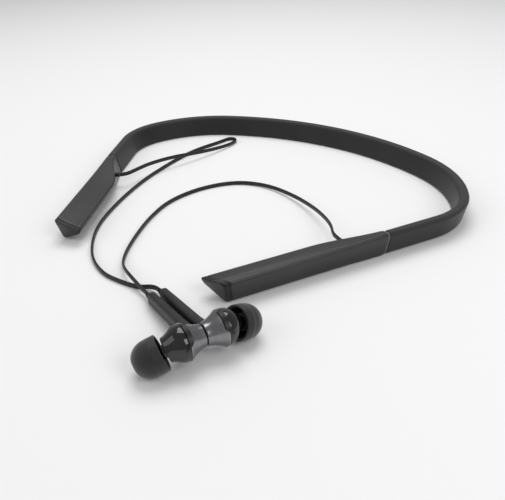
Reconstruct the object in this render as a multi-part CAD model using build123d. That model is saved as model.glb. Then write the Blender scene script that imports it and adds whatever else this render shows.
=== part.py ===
from build123d import *
from math import atan2, cos, degrees, pi, radians, sin, tan
import os

BOTTOM = (Align.CENTER, Align.CENTER, Align.MIN)
TOP = (Align.CENTER, Align.CENTER, Align.MAX)

# Frame: +Z up, +Y from the pod tips to the nape, X across, floor at z = 0,
# origin at the bottom centre of the box round everything but the cords.

# plan of one half, from the nape to the pod tip, along the outer bottom edge
nape_length = 65.0
nape_turn = 25.5
shoulder_length = 45.5
shoulder_turn = 43.5
bend_length = 28.0
bend_turn = 49.5
arm_length = 27.0
pod_length = 68.5
nape_y = 102.8

# neckband section
band_height = 10.8
band_thick = 4.7
band_lean = 2.3
band_round = 1.7
core_dia = 1.5
harness_dia = 1.7
core_height = 7.1
harness_height = 3.7

# pod section and shell
pod_width = 10.8
apex_height = 6.3
apex_edge = 2.3
pod_round = 1.1
edge_round = 0.8
taper_share = 0.45
taper_steps = 6
wall = 1.1
base_thick = 1.2
base_margin = 1.7
cap_length = 2.6
bottom_lead = 1.6
outer_lead = 3.6
apex_lead = 7.2
lip_length = 2.2
collar_length = 1.0
collar_inset = 0.35
slip = 0.05

base_start = 16.0
gland_mark = 15.0
gland_height = 6.4
gland_dia = 2.6
gland_end_dia = 2.2
gland_inside = 1.6
gland_length = 2.2

# electronics
cell_dia = 4.3
cell_length = 26.0
cell_start = 31.0
board_thick = 0.6
board_depth = 2.9
board_start = 24.5
board_length = 29.5
board_edge = 0.3
switch_height = 0.7
chip_height = 0.9
port_length = 7.4
port_width = 2.5
port_depth = 4.6
port_mark = 58.3
port_wall = 0.3
microphone_mark = 29.0
light_mark = 26.2

chip_length = 10.0
chip_shift = 6.0
switch_side = 2.6
microphone_side = 2.0
microphone_height = 0.9
sound_hole = 1.0
light_dia = 1.3
port_tongue = 0.6
cell_nub = 0.4
protection_length = 7.0

# buttons
button_round = 0.25
flange_over = 1.0
button_length = 6.2
button_width = 2.6
button_proud = 0.35
button_travel = 0.3
button_gap = 0.15
button_pitch = 8.0
button_start = 34.5
power_mark = 27.0

# earbuds, in the frame of the clasp: X out of the right earbud's back, Z up
clasp_point = (56.0, -83.3, 8.71)
clasp_heading = 67.0
clasp_roll = 30.0
clasp_pitch = 0.8
clasp_gap = 0.3
back_radius = 3.9
rim_radius = 6.4
back_length = 6.4
dome_length = 5.4
shell_wall = 0.7
magnet_radius = 2.6
magnet_thick = 1.6
driver_radius = 4.3
driver_thick = 2.0
nozzle_tilt = 23.0
nozzle_radius = 2.2
nozzle_bore = 1.6
nozzle_length = 7.6
mesh_thick = 0.3
tip_radius = 6.2
tip_length = 9.6
tip_start_right = 3.8
tip_start_left = 2.3
tip_recess = 2.4
tip_wall = 0.8
stem_angle = 52.7
stem_length = 36.5
stem_width = 4.3
stem_thick = 6.0
stem_end_width = 3.4
stem_end_thick = 5.2
stem_drop = 1.2
stem_station = 2.25
rib_width = 1.9
rib_proud = 0.5
rib_sweep = 70.0
grommet_length = 3.0

back_flare = 0.35
dome_end = 3.6
dome_bulge = 1.1
nozzle_sink = 1.8
rib_sink = 0.4
tip_dome = 0.85
stem_round = 0.45
grommet_dia = 2.6
grommet_end_dia = 2.2
core_reach = 6.0

# cords
cord_dia = 2.0
cord_gap = 0.3
cord_lead = 4.5
# cord routes from the mouth of each gland, by hand; each ends at its earbud's grommet
cord_route_right = [
    (59.6, -2.0, 6.5),
    (56.8, 0.7, 6.3),
    (53.4, 5.9, 6.0),
    (47.0, 12.5, 5.1),
    (36.0, 21.2, 3.6),
    (20.0, 29.6, 2.2),
    (2.0, 34.4, 1.3),
    (-14.0, 30.4, 1.0),
    (-25.0, 15.5, 1.0),
    (-29.2, -4.5, 1.0),
    (-25.0, -23.0, 1.0),
    (-17.8, -40.0, 1.0),
    (-11.6, -51.7, 1.0),
    (-6.2, -58.7, 1.2),
    (0.6, -63.5, 3.2),
    (7.5, -67.0, 4.4),
]
cord_route_left = [
    (-60.4, -1.9, 6.6),
    (-60.6, 6.5, 6.4),
    (-60.8, 16.0, 6.1),
    (-57.3, 30.0, 5.6),
    (-52.8, 44.0, 4.0),
    (-50.3, 57.5, 2.4),
    (-48.5, 70.0, 1.4),
    (-49.6, 78.8, 1.1),
    (-55.5, 79.5, 1.1),
    (-56.8, 70.5, 1.0),
    (-60.3, 57.0, 1.0),
    (-61.4, 42.0, 1.0),
    (-59.8, 25.5, 1.0),
    (-57.2, 7.5, 1.0),
    (-52.3, -10.5, 1.0),
    (-46.5, -26.5, 1.0),
    (-40.0, -40.5, 1.0),
    (-31.0, -52.5, 1.0),
    (-20.0, -62.5, 1.0),
    (-8.0, -67.9, 1.0),
    (1.0, -68.3, 1.0),
    (11.0, -67.4, 1.0),
]


def turned(point, heading, length, turn):
    """End point and heading of a plan stretch that turns clockwise."""
    if turn:
        length = 2 * length / radians(turn) * sin(radians(turn) / 2)
    angle = radians(heading + turn / 2)
    end = (point[0] + length * cos(angle), point[1] - length * sin(angle))
    return end, heading + turn


def plan_edge(point, heading, length, turn):
    """Plan edge of one stretch, at floor level."""
    end, _ = turned(point, heading, length, turn)
    if not turn:
        return Line((*point, 0), (*end, 0))
    middle, _ = turned(point, heading, length / 2, turn / 2)
    return ThreePointArc((*point, 0), (*middle, 0), (*end, 0))


def cross_plane(point, heading, height=0):
    """Section plane: local X outward, local Y up, facing along the band."""
    angle = radians(heading)
    return Plane(
        origin=(*point, height),
        x_dir=(sin(angle), cos(angle), 0),
        z_dir=(cos(angle), -sin(angle), 0),
    )


def rounded(points, radii):
    """Closed face from a polygon with a radius at each corner."""
    return make_face(FilletPolyline(*points, radius=radii, close=True))


def inset(points, depth):
    """Convex polygon moved inward by depth on every side."""
    count = len(points)
    area = sum(
        points[i][0] * points[(i + 1) % count][1] - points[(i + 1) % count][0] * points[i][1]
        for i in range(count)
    )
    way = 1 if area > 0 else -1
    sides = []
    for i in range(count):
        a, b = Vector(*points[i]), Vector(*points[(i + 1) % count])
        along = (b - a).normalized()
        inward = Vector(-along.Y, along.X) * way
        sides.append((a + inward * depth, along))
    corners = []
    for i in range(count):
        (p, u), (q, v) = sides[i - 1], sides[i]
        t = ((q - p).X * v.Y - (q - p).Y * v.X) / (u.X * v.Y - u.Y * v.X)
        corners.append((p.X + t * u.X, p.Y + t * u.Y))
    return corners


def band_section(shrink=0.0):
    points = [
        (0, 0),
        (band_lean, band_height),
        (band_lean - band_thick, band_height),
        (-band_thick, 0),
    ]
    return rounded(inset(points, shrink), [band_round - shrink] * 4)


def band_core_place(height):
    """Middle of the band section at a height."""
    return (band_lean * height / band_height - band_thick / 2, height)


def pod_corners(share):
    """Pod section: bottom, outer top, inner top and inner bottom corners."""
    grown = min(share / taper_share, 1)
    grown = grown * grown * (3 - 2 * grown)
    inner_top = (
        (band_lean - band_thick) + grown * (-pod_width - band_lean + band_thick),
        band_height + grown * (apex_height + apex_edge / 2 - band_height),
    )
    inner_bottom = (
        -band_thick + grown * (apex_edge / 2 - pod_width + band_thick),
        grown * (apex_height - apex_edge / 2),
    )
    return [(0, 0), (band_lean, band_height), inner_top, inner_bottom]


def taper_marks(start, end):
    """Stations from start to end, with those of the tapering stretch between them."""
    steps = [taper_share * pod_length * (i + 1) / taper_steps for i in range(taper_steps)]
    return [start] + [m for m in steps if start < m < end] + [end]


def pod_loft(start, end, shrink=0.0):
    """Pod body between two distances from the junction, or its sharp-cornered core."""
    faces = []
    for mark in taper_marks(start, end):
        points = inset(pod_corners(mark / pod_length), shrink)
        outline = make_face(Polyline(*points, close=True))
        if not shrink:
            outline = rounded(points, [pod_round, pod_round, edge_round, edge_round])
        faces.append(Pos(0, 0, mark) * outline)
    return loft(faces, ruled=True)


def under_frame(mark, depth=0.0):
    """Plane on the pod's underside, depth inside it: X up the slope, Z out of the pod."""
    outer, _, _, inner = [Vector(*p) for p in pod_corners(mark / pod_length)]
    along = (inner - outer).normalized()
    outward = Vector(along.Y, -along.X) * (-1 if along.X < 0 else 1)
    middle = (outer + inner) / 2 - outward * depth
    return Plane(
        origin=(middle.X, middle.Y, mark),
        x_dir=(along.X, along.Y, 0),
        z_dir=(outward.X, outward.Y, 0),
    )


def inside_span(frame_mark, mark, depth, margin):
    """Lowest and highest X, in the underside's frame, between the walls at a depth."""
    frame = under_frame(frame_mark, depth)
    corners = [frame.to_local_coords(Vector(*p, mark)) for p in inset(pod_corners(mark / pod_length), margin)]
    crossings = []
    for i, b in enumerate(corners):
        a = corners[i - 1]
        if (a.Z > 0) != (b.Z > 0):
            crossings.append(a.X + (b.X - a.X) * a.Z / (a.Z - b.Z))
    return min(crossings), max(crossings)


def incircle(corners):
    """Middle and radius of the circle that touches three sides of a triangle."""
    a, b, c = [Vector(*p) for p in corners]
    sides = [(b - c).length, (c - a).length, (a - b).length]
    middle = (a * sides[0] + b * sides[1] + c * sides[2]) / sum(sides)
    along = (b - a).normalized()
    reach = middle - a
    return middle, abs(reach.X * along.Y - reach.Y * along.X)


def on_underside(mark, shape, depth=0.0):
    return under_frame(mark, depth) * shape


def past_end(back=0.0):
    """Block that cuts the pod off along its slanted end face, back from the tip."""
    bottom, outer_top, inner_top, inner_bottom = pod_corners(1)
    apex = ((inner_top[0] + inner_bottom[0]) / 2, (inner_top[1] + inner_bottom[1]) / 2)
    marks = [bottom_lead, outer_lead, apex_lead]
    a, b, c = [Vector(*p, pod_length + m - back) for p, m in zip((bottom, outer_top, apex), marks)]
    normal = (b - a).cross(c - a).normalized()
    if normal.Z < 0:
        normal = normal * -1
    return Plane(origin=a, z_dir=normal) * Box(8 * pod_width, 8 * pod_width, 4 * pod_width, align=BOTTOM)


def base_strip():
    """Room for the base cover: a strip along the underside, proud of the surface."""
    start, end = base_start, pod_length - cap_length - lip_length - slip
    faces = []
    for mark in taper_marks(start, end):
        outer, _, _, inner = [Vector(*p) for p in pod_corners(mark / pod_length)]
        half = (inner - outer).length / 2 - base_margin
        frame = under_frame(mark)
        ends = [(-half, -base_thick), (half, -base_thick), (half, 1), (-half, 1)]
        points = [frame.from_local_coords(Vector(x, 0, z)) for x, z in ends]
        flat = [(p.X, p.Y) for p in points]
        faces.append(Pos(0, 0, mark) * make_face(Polyline(*flat, close=True)))
    return loft(faces, ruled=True)


def button(mark, grown=0.0):
    """Pill button through the base cover, with a flange behind it."""
    inner_end = board_depth - switch_height - button_travel - slip
    pill = Rot(0, 0, 90) * SlotOverall(button_length + 2 * grown, button_width + 2 * grown)
    if grown:
        return on_underside(mark, extrude(pill, 1) + extrude(pill, -inner_end))
    flange = Rot(0, 0, 90) * SlotOverall(button_length + flange_over, button_width + flange_over)
    body = extrude(pill, button_proud) + extrude(pill, -inner_end)
    body = fillet(body.faces().sort_by(Axis.Z)[-1].edges(), button_round)
    back = Pos(0, 0, -inner_end) * extrude(flange, inner_end - base_thick - slip)
    return on_underside(mark, body + back)


def pod_parts(button_marks, has_port):
    """Housing pieces of one pod, in its own frame, Z from the junction to the tip."""
    whole_length = pod_length + apex_lead + 1
    cap_room = past_end(cap_length)
    body = pod_loft(0, whole_length) - cap_room
    cavity = pod_loft(wall, whole_length, wall)
    strip = base_strip()
    parts = {}
    shell = body - cavity - strip
    base = body & strip
    for mark in button_marks:
        base -= button(mark, button_gap)
    if has_port:
        base -= on_underside(port_mark, Box(port_width, port_length, 4))
        base -= on_underside(microphone_mark, Cylinder(sound_hole / 2, 4))
        base -= on_underside(light_mark, Cylinder(light_dia / 2, 4))
    lip = pod_loft(pod_length - 2 * cap_length - lip_length, whole_length, wall + slip)
    lip = (lip & past_end(cap_length + lip_length)) - cap_room
    cap = (pod_loft(pod_length - 2 * cap_length, whole_length) & cap_room) - past_end()
    parts["end_cap"] = cap + lip
    gland_place = pod_gland()
    shell -= gland_place * Cylinder(gland_dia / 2, 2 * gland_inside + 2)
    for height, dia in ((core_height, core_dia), (harness_height, harness_dia)):
        shell -= Pos(*band_core_place(height), 0) * Cylinder(dia / 2, 3 * wall)
    parts["pod_shell"] = shell
    parts["pod_base"] = base
    gland = Pos(0, 0, -gland_inside) * Cylinder(gland_dia / 2, gland_inside, align=BOTTOM)
    gland += Cone(gland_dia / 2, gland_end_dia / 2, gland_length, align=BOTTOM)
    parts["cord_gland"] = gland_place * gland
    collar = Pos(0, 0, -collar_length) * extrude(band_section(collar_inset), collar_length)
    for height, dia in ((core_height, core_dia), (harness_height, harness_dia)):
        collar -= Pos(*band_core_place(height), 0) * Cylinder(dia / 2, 3 * collar_length)
    parts["collar"] = collar
    return parts


def pod_gland():
    """Place of the cord gland on the pod's inner face, Z out of the pod."""
    corners = [Vector(*p) for p in pod_corners(gland_mark / pod_length)]
    low, high = corners[3], corners[2]
    share = (gland_height - low.Y) / (high.Y - low.Y)
    face = low + (high - low) * share
    return Plane(origin=(face.X, face.Y, gland_mark), x_dir=(0, 0, 1), z_dir=(-1, 0, 0))


def right_electronics():
    middle = board_start + board_length / 2
    low, high = inside_span(middle, board_start, board_depth + board_thick, wall + board_edge)
    width = high - low
    parts = {}
    frame = under_frame(middle, board_depth) * Pos((low + high) / 2, 0, 0)
    parts["main_board"] = frame * Box(width, board_length, board_thick, align=TOP)
    chip_depth = board_depth + board_thick
    low, high = inside_span(middle, middle, chip_depth + chip_height, wall + board_edge)
    frame = under_frame(middle, chip_depth) * Pos((low + high) / 2, chip_shift, 0)
    parts["radio_shield"] = frame * Box(high - low, chip_length, chip_height, align=TOP)
    switches = []
    for mark in right_button_marks():
        body = Box(switch_side, switch_side, switch_height, align=BOTTOM)
        switches.append(on_underside(mark, body, board_depth))
    parts["tact_switches"] = Compound(children=[Part() + s for s in switches])
    can = Box(microphone_side, microphone_side, microphone_height, align=BOTTOM)
    parts["microphone"] = on_underside(microphone_mark, can, board_depth)
    pipe = Cylinder(light_dia / 2, board_depth, align=BOTTOM)
    parts["light_pipe"] = on_underside(light_mark, pipe, board_depth)
    outer = Box(port_width, port_length, port_depth, align=TOP)
    mouth = Box(port_width - 2 * port_wall, port_length - 2 * port_wall, port_depth - port_wall, align=TOP)
    tongue = Box(port_tongue, port_length - 4 * port_wall, port_depth - port_wall, align=TOP)
    parts["charging_port"] = on_underside(port_mark, outer - mouth + tongue)
    return parts


def right_button_marks():
    return [button_start + i * button_pitch for i in range(3)]


def left_electronics():
    parts = {}
    corners = inset(pod_corners(1), wall)
    middle, _ = incircle(corners[:3])
    cell = Cylinder(cell_dia / 2, cell_length, align=BOTTOM)
    cell += Pos(0, 0, cell_length) * Cylinder(cell_dia / 6, cell_nub, align=BOTTOM)
    parts["battery_cell"] = Pos(middle.X, middle.Y, cell_start) * cell
    low, high = inside_span(
        power_mark, power_mark - protection_length / 2, board_depth + board_thick, wall + board_edge)
    frame = under_frame(power_mark, board_depth) * Pos((low + high) / 2, 0, 0)
    parts["protection_board"] = frame * Box(high - low, protection_length, board_thick, align=TOP)
    body = Box(switch_side, switch_side, switch_height, align=BOTTOM)
    parts["power_switch"] = on_underside(power_mark, body, board_depth)
    return parts


def plan_stretches():
    """Start, heading, length and turn of each stretch of the right half."""
    point, heading = (0.0, nape_y), 0.0
    stretches = []
    for length, turn in (
        (nape_length, nape_turn),
        (shoulder_length, shoulder_turn),
        (bend_length, bend_turn),
        (arm_length - collar_length, 0),
        (collar_length, 0),
    ):
        stretches.append((point, heading, length, turn))
        point, heading = turned(point, heading, length, turn)
    return stretches, point, heading


def along_plan(stretches, section, offset, height):
    """Section swept along plan stretches, its own origin kept on the bottom edge."""
    edges = [plan_edge(*stretch) for stretch in stretches]
    frame = cross_plane(stretches[0][0], stretches[0][1])
    return sweep(frame * Pos(offset, height, 0) * section, path=Wire(edges))


def band_parts(stretches, end_reach):
    """Skin, core wire and harness of one piece of the band."""
    skin = along_plan(stretches, band_section(), 0, 0)
    core = along_plan(stretches, Circle(core_dia / 2), *band_core_place(core_height))
    harness = along_plan(stretches, Circle(harness_dia / 2), *band_core_place(harness_height))
    parts = {"band_skin": skin - core - harness}
    if end_reach:
        point, heading = turned(*stretches[-1])
        frame = cross_plane(point, heading)
        for name, rod, height, dia in (
            ("core_wire", core, core_height, core_dia),
            ("harness", harness, harness_height, harness_dia),
        ):
            place = frame * Pos(*band_core_place(height), 0)
            parts[name] = rod + place * Cylinder(dia / 2, end_reach, align=BOTTOM)
    else:
        parts.update({"core_wire": core, "harness": harness})
    return parts


def cord_path(start, route, end):
    """Straight runs joined by arcs as large as their runs allow, and the arc radii."""
    points = [start] + [Vector(*p) for p in route] + [end]
    radii = []
    for a, b, c in zip(points, points[1:], points[2:]):
        turn = radians((b - a).get_angle(c - b))
        radii.append(0.45 * min((b - a).length, (c - b).length) / tan(turn / 2))
    return FilletPolyline(*points, radius=radii), radii


def cord(name, start, route, end):
    path, radii = cord_path(start, route, end)
    tube = sweep(Plane(origin=path @ 0, z_dir=path % 0) * Circle(cord_dia / 2), path=path)
    print(name, "length", round(path.length, 1), "least radius", round(min(radii), 1))
    print("  volume over section times length", round(tube.volume / path.length / pi * 4 / cord_dia**2, 4))
    return tube


def shell_of(outer_points, bulge):
    """Solid of revolution about X under a curve from the first point to the last."""
    (x0, r0), (x1, r1) = outer_points
    middle = ((x0 + x1) / 2, (r0 + r1) / 2 + bulge)
    curve = ThreePointArc((x0, r0), middle, (x1, r1))
    rest = Polyline((x1, r1), (x1, 0), (x0, 0), (x0, r0))
    return revolve(make_face([curve, rest]), Axis.X)


def nozzle_frame(reach):
    """Plane on the slanted nozzle, reach out from where it leaves the axis; Z outward."""
    tilt = radians(nozzle_tilt)
    root = clasp_gap / 2 + back_length + dome_length - nozzle_sink
    return Plane(
        origin=(root + reach * cos(tilt), 0, -reach * sin(tilt)),
        x_dir=(0, 1, 0),
        z_dir=(cos(tilt), 0, -sin(tilt)),
    )


def earbud_parts(tip_start):
    """Pieces of the right earbud, in the clasp frame."""
    start = clasp_gap / 2
    seam = start + back_length
    parts = {}
    back_solid = shell_of([(start, back_radius), (seam, rim_radius)], -back_flare)
    back_room = shell_of(
        [(start + shell_wall, back_radius - shell_wall), (seam, rim_radius - shell_wall)], -back_flare
    )
    dome_solid = shell_of([(seam, rim_radius), (seam + dome_length, dome_end)], dome_bulge)
    dome_room = shell_of(
        [(seam, rim_radius - shell_wall), (seam + dome_length - shell_wall, dome_end - shell_wall)],
        dome_bulge,
    )
    nozzle = nozzle_frame(0) * Cylinder(nozzle_radius, nozzle_length, align=BOTTOM)
    bore = nozzle_frame(-1) * Cylinder(nozzle_bore, nozzle_length + 2, align=BOTTOM)
    rib_ring = Pos(seam - rib_width / 2, 0, 0) * Rot(0, 90, 0) * Cylinder(
        rim_radius + rib_proud, rib_width, align=BOTTOM
    )
    rib_room = Pos(seam - rib_width / 2, 0, 0) * Rot(0, 90, 0) * Cylinder(
        rim_radius - rib_sink, rib_width, align=BOTTOM
    )
    half = radians(rib_sweep / 2)
    reach = 2 * rim_radius
    across, up = reach * sin(half), reach * cos(half)
    wedge = make_face(Polyline((0, 0), (-across, up), (across, up), close=True))
    wedge = Plane(origin=(seam - rib_width, 0, 0), x_dir=(0, 1, 0), z_dir=(1, 0, 0)) * wedge
    rib = (rib_ring - rib_room) & extrude(wedge, 2 * rib_width)
    parts["lock_rib"] = rib
    parts["back_shell"] = back_solid - back_room - rib
    parts["front_housing"] = (dome_solid + nozzle) - dome_room - bore - rib
    magnet = Cylinder(magnet_radius, magnet_thick, align=BOTTOM)
    parts["magnet"] = Pos(start + shell_wall, 0, 0) * Rot(0, 90, 0) * magnet
    driver = Cylinder(driver_radius, driver_thick, align=TOP)
    driver -= Cylinder(driver_radius - shell_wall, shell_wall, align=TOP)
    parts["driver"] = Pos(seam, 0, 0) * Rot(0, 90, 0) * driver
    mesh = Cylinder(nozzle_bore, mesh_thick, align=TOP)
    parts["nozzle_mesh"] = nozzle_frame(nozzle_length) * mesh
    parts["ear_tip"] = nozzle_frame(tip_start) * ear_tip_solid()
    stem, grommet = stem_solids()
    filled = shell_of([(start, back_radius), (seam, rim_radius)], -back_flare) + dome_solid
    parts["stem"] = stem - filled - rib
    parts["stem_grommet"] = grommet
    return parts


def ear_tip_solid():
    """Silicone mushroom: dome, open skirt and the tube that grips the nozzle."""
    dome_start = tip_length - tip_radius * tip_dome
    outer = Cylinder(tip_radius, tip_length, align=BOTTOM)
    outer = fillet(outer.edges().sort_by(Axis.Z)[-1], tip_radius * tip_dome)
    outer = fillet(outer.edges().sort_by(Axis.Z)[0], tip_wall / 2)
    skirt = Cylinder(tip_radius - tip_wall, dome_start + tip_wall, align=BOTTOM)
    skirt -= Pos(0, 0, tip_recess) * Cylinder(nozzle_radius + tip_wall, dome_start, align=BOTTOM)
    grip = nozzle_length - tip_start_left + slip
    hole = Cylinder(nozzle_radius, grip, align=BOTTOM) + Cylinder(nozzle_bore, tip_length, align=BOTTOM)
    return outer - skirt - hole


def stem_frame(reach):
    """Plane across the stem, reach from the earbud's axis; X along that axis, Z outward."""
    angle = radians(stem_angle)
    way = Vector(0, -sin(angle), -cos(angle))
    below = Vector(0, cos(angle), -sin(angle)) * stem_drop
    origin = Vector(clasp_gap / 2 + stem_station, 0, 0) + below + way * reach
    return Plane(origin=origin, x_dir=(1, 0, 0), z_dir=way)


def stem_solids():
    faces = []
    for reach, width, thick in (
        (back_radius / 2, stem_width, stem_thick),
        (stem_length, stem_end_width, stem_end_thick),
    ):
        faces.append(stem_frame(reach) * RectangleRounded(width, thick, width * stem_round))
    stem = loft(faces, ruled=True)
    socket = stem_frame(stem_length) * Cylinder(grommet_dia / 2, grommet_length, align=TOP)
    grommet = Cylinder(grommet_dia / 2, grommet_length, align=TOP)
    grommet += Cone(grommet_dia / 2, grommet_end_dia / 2, grommet_length, align=BOTTOM)
    return stem - socket, stem_frame(stem_length) * grommet


def clasp_frame():
    """Frame of the clasped pair: X out of the right earbud's back, Z rolled up."""
    heading, roll, pitch = radians(clasp_heading), radians(clasp_roll), radians(clasp_pitch)
    out = Vector(-cos(heading) * cos(pitch), -sin(heading) * cos(pitch), sin(pitch))
    across = Vector(sin(heading), -cos(heading), 0)
    upright = out.cross(across)
    upright = upright * (1 if upright.Z > 0 else -1)
    return Plane(origin=clasp_point, x_dir=out, z_dir=across * sin(roll) + upright * cos(roll))


nodes = {}


def add(name, shape):
    shape.label = name
    nodes[name] = shape


def build():
    stretches, junction, heading = plan_stretches()
    nape = [(mirror_start(), -nape_turn, 2 * nape_length, 2 * nape_turn)]
    for name, shape in band_parts(nape, 0).items():
        add("nape_" + name, shape)
    pod_frame = cross_plane(junction, heading)
    for side, marks, electronics in (
        ("right", right_button_marks(), right_electronics()),
        ("left", [power_mark], left_electronics()),
    ):
        arm_parts = band_parts(stretches[1:4], core_reach + collar_length)
        pieces = {side + "_" + n: s for n, s in arm_parts.items()}
        for name, shape in pod_parts(marks, side == "right").items():
            pieces[side + "_" + name] = pod_frame * shape
        for name, shape in electronics.items():
            pieces[name] = pod_frame * shape
        names = ["volume_up_button", "multifunction_button", "volume_down_button"]
        for name, mark in zip(names if side == "right" else ["power_button"], marks):
            pieces[name] = pod_frame * button(mark)
        for name, shape in pieces.items():
            add(name, shape if side == "right" else mirror(shape, about=Plane.YZ))
    for name, shape in earbud_parts(tip_start_right).items():
        add("right_" + name, clasp_frame() * shape)
    for name, shape in earbud_parts(tip_start_left).items():
        add("left_" + name, clasp_frame() * mirror(shape, about=Plane.YZ))
    add_cords(pod_frame)


def mirror_start():
    point, _ = turned((0.0, nape_y), 0.0, nape_length, nape_turn)
    return (-point[0], point[1])


def add_cords(pod_frame):
    place = pod_frame.location * pod_gland().location
    mouth = (place * Pos(0, 0, gland_length + cord_gap)).position
    stem_end = stem_frame(stem_length)
    for side, route in (("right", cord_route_right), ("left", cord_route_left)):
        way = 1 if side == "right" else -1
        ends = []
        for reach in (cord_lead, cord_gap):
            local = stem_end.location * Pos(0, 0, grommet_length + reach)
            p = local.position
            ends.append((clasp_frame().location * Pos(way * p.X, p.Y, p.Z)).position)
        start = Vector(way * mouth.X, mouth.Y, mouth.Z)
        add(side + "_cord", cord(side + "_cord", start, route + [tuple(ends[0])], ends[1]))
        print("  starts", start, "ends", ends[1])


build()
os.makedirs("parts", exist_ok=True)
for name, shape in nodes.items():
    export_step(shape, f"parts/{name}.step")
rest = [s.bounding_box() for n, s in nodes.items() if not n.endswith("_cord")]
low = [min(getattr(b.min, k) for b in rest) for k in "XYZ"]
high = [max(getattr(b.max, k) for b in rest) for k in "XYZ"]
print(len(nodes), "nodes; box", [round(v, 2) for v in low], [round(v, 2) for v in high])
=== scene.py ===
import math
import bmesh
import bpy
import numpy as np
from mathutils import Matrix, Vector


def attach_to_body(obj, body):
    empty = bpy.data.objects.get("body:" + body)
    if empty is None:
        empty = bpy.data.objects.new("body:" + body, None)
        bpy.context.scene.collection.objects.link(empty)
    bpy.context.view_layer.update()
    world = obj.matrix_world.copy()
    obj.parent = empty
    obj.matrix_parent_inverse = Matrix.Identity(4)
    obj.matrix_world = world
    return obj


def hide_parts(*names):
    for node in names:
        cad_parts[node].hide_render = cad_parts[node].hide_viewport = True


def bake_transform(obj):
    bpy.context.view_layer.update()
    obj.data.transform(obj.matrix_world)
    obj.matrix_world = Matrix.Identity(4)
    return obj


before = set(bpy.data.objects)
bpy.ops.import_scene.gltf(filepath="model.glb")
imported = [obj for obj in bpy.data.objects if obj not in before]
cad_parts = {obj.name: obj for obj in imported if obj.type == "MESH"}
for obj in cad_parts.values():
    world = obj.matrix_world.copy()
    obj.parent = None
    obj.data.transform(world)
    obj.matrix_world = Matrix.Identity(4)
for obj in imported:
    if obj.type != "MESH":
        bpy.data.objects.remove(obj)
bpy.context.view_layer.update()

mm = 0.001


def linear(hexColour, alpha=1.0):
    values = [int(hexColour[i:i + 2], 16) / 255 for i in (1, 3, 5)]
    return [v / 12.92 if v <= 0.04045 else ((v + 0.055) / 1.055) ** 2.4 for v in values] + [alpha]


def addNode(tree, kind, inputs=None, **settings):
    node = tree.nodes.new(kind)
    for key, value in settings.items():
        setattr(node, key, value)
    for key, value in (inputs or {}).items():
        socket = node.inputs[key]
        if isinstance(value, bpy.types.NodeSocket):
            tree.links.new(value, socket)
        else:
            socket.default_value = value
    return node


# camera: where the set is seen from, in mm, with a short standard lens
cameraView = dict(place=(156.92, -194.22, 128.2), azimuth=-35.95, elevation=30.8, roll=-1.79, lens=42.77)


def makeCamera(v):
    az, el, roll = (math.radians(v[k]) for k in ("azimuth", "elevation", "roll"))
    forward = Vector((math.sin(az) * math.cos(el), math.cos(az) * math.cos(el), -math.sin(el)))
    side = Vector((math.cos(az), -math.sin(az), 0))
    up = side.cross(forward)
    right = side * math.cos(roll) + up * math.sin(roll)
    upright = up * math.cos(roll) - side * math.sin(roll)
    data = bpy.data.cameras.new("camera")
    data.lens = v["lens"]
    data.sensor_width = 36
    data.clip_start = 0.005
    camera = bpy.data.objects.new("camera", data)
    bpy.context.collection.objects.link(camera)
    turn = Matrix((right, upright, -forward)).transposed().to_4x4()
    camera.matrix_world = Matrix.Translation(Vector(v["place"]) * mm) @ turn
    bpy.context.scene.camera = camera


makeCamera(cameraView)
print("stage: camera placed")


# materials
def newMaterial(name):
    material = bpy.data.materials.new(name)
    material.use_nodes = True
    tree = material.node_tree
    shader = tree.nodes["Principled BSDF"]
    return material, tree, shader


# moulded rubbers and plastics: two close tones, a grain depth and a roughness range
def mouldedFinish(name, look):
    material, tree, shader = newMaterial(name)
    place = addNode(tree, "ShaderNodeTexCoord").outputs["Object"]
    cloud = addNode(tree, "ShaderNodeTexNoise", {"Vector": place, "Scale": 1000 / look["cloudMm"], "Detail": 3.0})
    tone = addNode(tree, "ShaderNodeValToRGB", {"Fac": cloud.outputs["Fac"]})
    tone.color_ramp.elements[0].position = 0.35
    tone.color_ramp.elements[1].position = 0.68
    tone.color_ramp.elements[0].color = linear(look["dark"])
    tone.color_ramp.elements[1].color = linear(look["light"])
    grain = addNode(tree, "ShaderNodeTexNoise", {"Vector": place, "Scale": 1000 / look["grainMm"], "Detail": 4.0})
    polish = addNode(tree, "ShaderNodeMapRange", {
        "Value": cloud.outputs["Fac"], "To Min": look["rough"][0], "To Max": look["rough"][1]})
    relief = addNode(tree, "ShaderNodeBump", {
        "Height": grain.outputs["Fac"], "Strength": look["relief"], "Distance": look["depthMm"] * mm})
    tree.links.new(tone.outputs["Color"], shader.inputs["Base Color"])
    tree.links.new(polish.outputs["Result"], shader.inputs["Roughness"])
    tree.links.new(relief.outputs["Normal"], shader.inputs["Normal"])
    shader.inputs["IOR"].default_value = look.get("ior", 1.5)
    shader.inputs["Coat Weight"].default_value = look.get("coat", 0.0)
    shader.inputs["Coat Roughness"].default_value = look.get("coatRough", 0.3)
    shader.inputs["Sheen Weight"].default_value = look.get("sheen", 0.0)
    shader.inputs["Sheen Roughness"].default_value = 0.5
    shader.inputs["Specular IOR Level"].default_value = look.get("specular", 0.38)
    return material


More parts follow.
